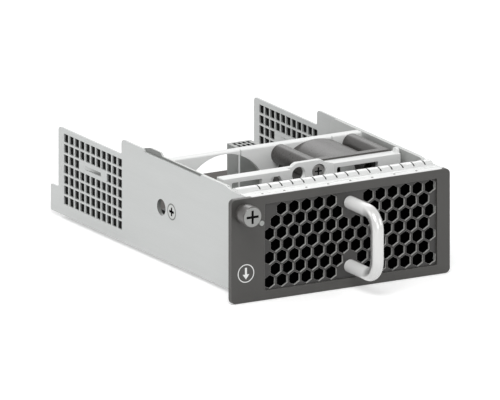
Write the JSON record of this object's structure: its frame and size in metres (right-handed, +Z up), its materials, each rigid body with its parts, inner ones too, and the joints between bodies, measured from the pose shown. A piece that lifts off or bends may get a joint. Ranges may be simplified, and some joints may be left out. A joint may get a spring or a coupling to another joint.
{
  "type": "network switch fan tray",
  "caption": "Slide-in cooling fan tray with a honeycomb front, bar handle, captive screw, perforated rear cheeks and a fan cage with one bay filled and one open.",
  "frame": {"origin": "middle of the tray's footprint, at the height of the bezel's bottom edge", "axes": "+X to the right seen from the front, +Y towards the rear (the way the tray slides in), +Z up; the bezel faces -Y"},
  "size_m": [0.0982, 0.1779, 0.0437],
  "materials": {
    "bezel_paint": "satin dark grey powder coat",
    "grille_paint": "satin dark grey powder coat",
    "zinc_sheet": "matt zinc plated sheet steel",
    "cage_plastic": "light grey moulded plastic",
    "cage_sheet": "zinc plated sheet steel",
    "spring_steel": "bright nickel plated spring steel",
    "handle_chrome": "satin chrome",
    "screw_zinc": "zinc plated",
    "dark_screw": "dark passivated steel",
    "knob_black": "dark moulded knob",
    "foam_black": "open-cell dust foam",
    "fan_plastic": "dark grey glass-filled plastic",
    "impeller_plastic": "black plastic",
    "motor_steel": "plain steel",
    "magnet_ferrite": "bonded ferrite",
    "bearing_brass": "turned brass",
    "coil_copper": "enamelled copper wire",
    "board_dark": "dark solder mask on glass fibre",
    "socket_grey": "grey moulded nylon",
    "contact_gold": "gold flashed contact",
    "capacitor_can": "aluminium can",
    "light_guide": "frosted clear light guide"
  },
  "bodies": {
    "tray": {"front_bezel": "bezel_paint", "front_grille": "grille_paint", "dust_foam": "foam_black", "front_frame": "zinc_sheet", "tray_floor": "zinc_sheet", "left_cheek": "zinc_sheet", "right_cheek": "zinc_sheet", "left_cage_plate": "cage_sheet", "right_cage_plate": "cage_sheet", "spring_finger_strip": "spring_steel", "cage_front_duct": "cage_plastic", "cage_rear_plate": "cage_plastic", "fan_housing": "fan_plastic", "fan_screw": "dark_screw", "handle": "handle_chrome", "handle_screws": "screw_zinc", "bezel_screws": "screw_zinc", "side_screws": "screw_zinc", "fan_terminal_block": "socket_grey", "board_capacitors": "capacitor_can", "fan_circuit_board": "board_dark", "bearing_tube": "bearing_brass", "ball_bearings": "motor_steel", "stator_core": "motor_steel", "stator_coils": "coil_copper", "captive_collar": "knob_black", "captive_spring": "motor_steel", "status_light_pipe": "light_guide", "status_led": "light_guide", "led_board": "board_dark", "control_board": "board_dark", "board_standoffs": "bearing_brass", "board_screws": "screw_zinc", "rear_plug": "knob_black", "plug_contacts": "contact_gold"},
    "fan_rotor": {"impeller": "impeller_plastic", "rotor_yoke": "motor_steel", "rotor_magnet": "magnet_ferrite", "fan_shaft": "motor_steel", "shaft_retaining_clip": "motor_steel"},
    "lock_slider": {"thrust_washer": "motor_steel"},
    "lock_screw": {"captive_knob": "knob_black", "captive_shank": "screw_zinc"}
  },
  "joints": [
    {"name": "rotor_spin", "type": "hinge", "parent": "tray", "child": "fan_rotor", "pos_m": [0.0255, -0.01805, 0.0222], "axis": [0, 1, 0], "continuous": true},
    {"name": "screw_push", "type": "slide", "parent": "tray", "child": "lock_slider", "axis": [0, 1, 0], "range_m": [0, 0.0022], "stiffness_N_per_m": 300, "deforming": ["captive_spring"]},
    {"name": "screw_turn", "type": "hinge", "parent": "lock_slider", "child": "lock_screw", "pos_m": [-0.0436, -0.07005, 0.0362], "axis": [0, 1, 0], "continuous": true}
  ]
}
